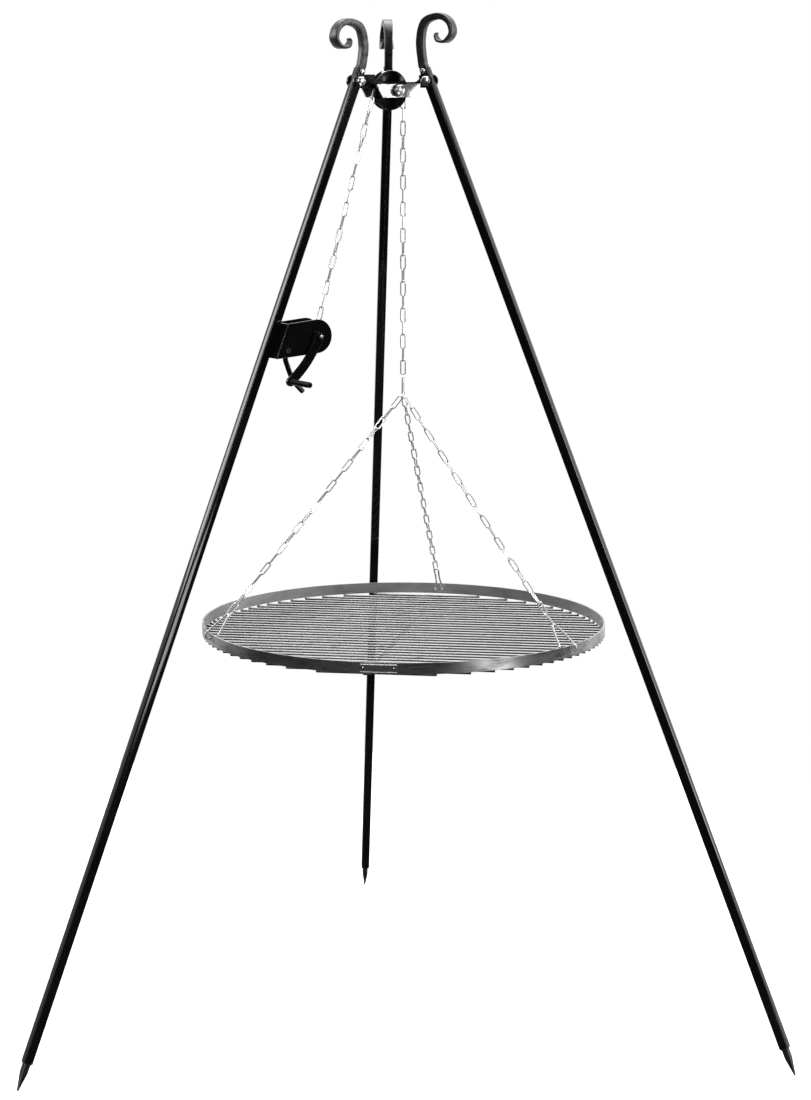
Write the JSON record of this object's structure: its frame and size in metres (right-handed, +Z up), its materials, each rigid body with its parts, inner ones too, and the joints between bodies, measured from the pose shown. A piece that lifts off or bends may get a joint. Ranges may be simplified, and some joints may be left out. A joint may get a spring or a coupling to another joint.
{
  "type": "campfire tripod grate",
  "caption": "Free-standing steel tripod with scroll tops, a hub pulley and a leg-mounted hand winch that raises and lowers a round barred cooking grate on chains.",
  "frame": {"origin": "on the ground under the middle of the bounding box of the spread tripod", "axes": "+Z up; -Y towards the viewer's side; the winch leg stands towards -X and -Y, the rear leg towards +Y"},
  "size_m": [1.4868, 1.2875, 2.0074],
  "materials": {
    "black_paint": "satin black paint over steel, brighter along folded and sheared edges",
    "bright_zinc": "bright zinc plating on chain, bolts and bent wire",
    "raw_steel": "uncoated rolled and drawn steel with a fine grain"
  },
  "bodies": {
    "root": {"hub_frame": "black_paint", "pulley_cheek_near": "bright_zinc", "pulley_cheek_far": "bright_zinc", "pulley_axle_bolt": "bright_zinc", "pulley_axle_nut": "bright_zinc", "pulley_spacer_near": "bright_zinc", "pulley_spacer_far": "bright_zinc", "pulley_chain": "bright_zinc", "left_leg_pivot_bolt": "bright_zinc", "left_leg_pivot_nut": "bright_zinc", "right_leg_pivot_bolt": "bright_zinc", "right_leg_pivot_nut": "bright_zinc", "rear_leg_pivot_bolt": "bright_zinc", "rear_leg_pivot_nut": "bright_zinc"},
    "pulley": {"pulley_wheel": "black_paint"},
    "left_leg": {"left_leg_tube": "black_paint", "left_leg_spike": "black_paint", "left_leg_scroll": "black_paint", "left_leg_scroll_screw": "bright_zinc", "winch_bracket": "black_paint", "winch_screw_upper": "bright_zinc", "winch_screw_lower": "bright_zinc", "pawl_pin": "bright_zinc", "pawl_spring": "bright_zinc", "winch_chain": "bright_zinc"},
    "winch_drum": {"winch_drum": "black_paint", "winch_chain_wraps": "bright_zinc", "winch_shaft": "bright_zinc", "shaft_collar": "bright_zinc", "ratchet_wheel": "black_paint", "ratchet_spacer": "bright_zinc", "crank_bush": "black_paint", "crank_arm": "black_paint", "crank_grip": "black_paint", "crank_nut": "bright_zinc"},
    "pawl": {"pawl_lever": "black_paint"},
    "right_leg": {"right_leg_tube": "black_paint", "right_leg_spike": "black_paint", "right_leg_scroll": "black_paint", "right_leg_scroll_screw": "bright_zinc"},
    "rear_leg": {"rear_leg_tube": "black_paint", "rear_leg_spike": "black_paint", "rear_leg_scroll": "black_paint", "rear_leg_scroll_screw": "bright_zinc"},
    "chain_swing": {"drop_chain_upper": "bright_zinc"},
    "lift": {"drop_chain_lower": "bright_zinc", "main_hanger": "bright_zinc", "gather_ring": "bright_zinc"},
    "grate": {"suspension_chain_1": "bright_zinc", "suspension_chain_2": "bright_zinc", "suspension_chain_3": "bright_zinc", "rim_hook_1": "bright_zinc", "rim_hook_2": "bright_zinc", "rim_hook_3": "bright_zinc", "grate_rim": "raw_steel", "grate_bars": "raw_steel", "name_plate": "raw_steel", "plate_rivet_left": "bright_zinc", "plate_rivet_right": "bright_zinc"}
  },
  "joints": [
    {"name": "left_leg_fold", "type": "hinge", "parent": "root", "child": "left_leg", "pos_m": [-0.07101, -0.25486, 1.8785], "axis": [0.5, -0.866, 0], "range_deg": [0, 3.5]},
    {"name": "right_leg_fold", "type": "hinge", "parent": "root", "child": "right_leg", "pos_m": [0.07101, -0.25486, 1.8785], "axis": [0.5, 0.866, 0], "range_deg": [0, 3.5]},
    {"name": "rear_leg_fold", "type": "hinge", "parent": "root", "child": "rear_leg", "pos_m": [0, -0.13186, 1.8785], "axis": [-1, 0, 0], "range_deg": [0, 3.5]},
    {"name": "pulley_turn", "type": "hinge", "parent": "root", "child": "pulley", "pos_m": [-0.00433, -0.21636, 1.861], "axis": [0.5, -0.866, 0], "range_deg": [-720, 120]},
    {"name": "crank_turn", "type": "hinge", "parent": "left_leg", "child": "winch_drum", "pos_m": [-0.16801, -0.31086, 1.396], "axis": [0.5, -0.866, 0], "range_deg": [-200, 1560]},
    {"name": "pawl_release", "type": "hinge", "parent": "left_leg", "child": "pawl", "pos_m": [-0.22517, -0.34386, 1.372], "axis": [-0.5, 0.866, 0], "range_deg": [0, 12], "stiffness_Nm_per_rad": 0.15, "springref_deg": -20.05},
    {"name": "grate_swing", "type": "hinge", "parent": "root", "child": "chain_swing", "pos_m": [0.02468, -0.19961, 1.861], "axis": [-0.5, 0.866, 0], "range_deg": [-2, 2]},
    {"name": "grate_lift", "type": "slide", "parent": "chain_swing", "child": "lift", "axis": [0, 0, 1], "range_m": [-0.416, 0.052]},
    {"name": "grate_turn", "type": "hinge", "parent": "lift", "child": "grate", "pos_m": [0.02468, -0.19961, 1.261], "axis": [0, 0, 1], "range_deg": [-180, 180]}
  ],
  "couplings": [
    {"joint": "pulley_turn", "follows": "grate_lift", "rad_per_m": 29.851},
    {"joint": "crank_turn", "follows": "grate_lift", "rad_per_m": -64.516}
  ]
}
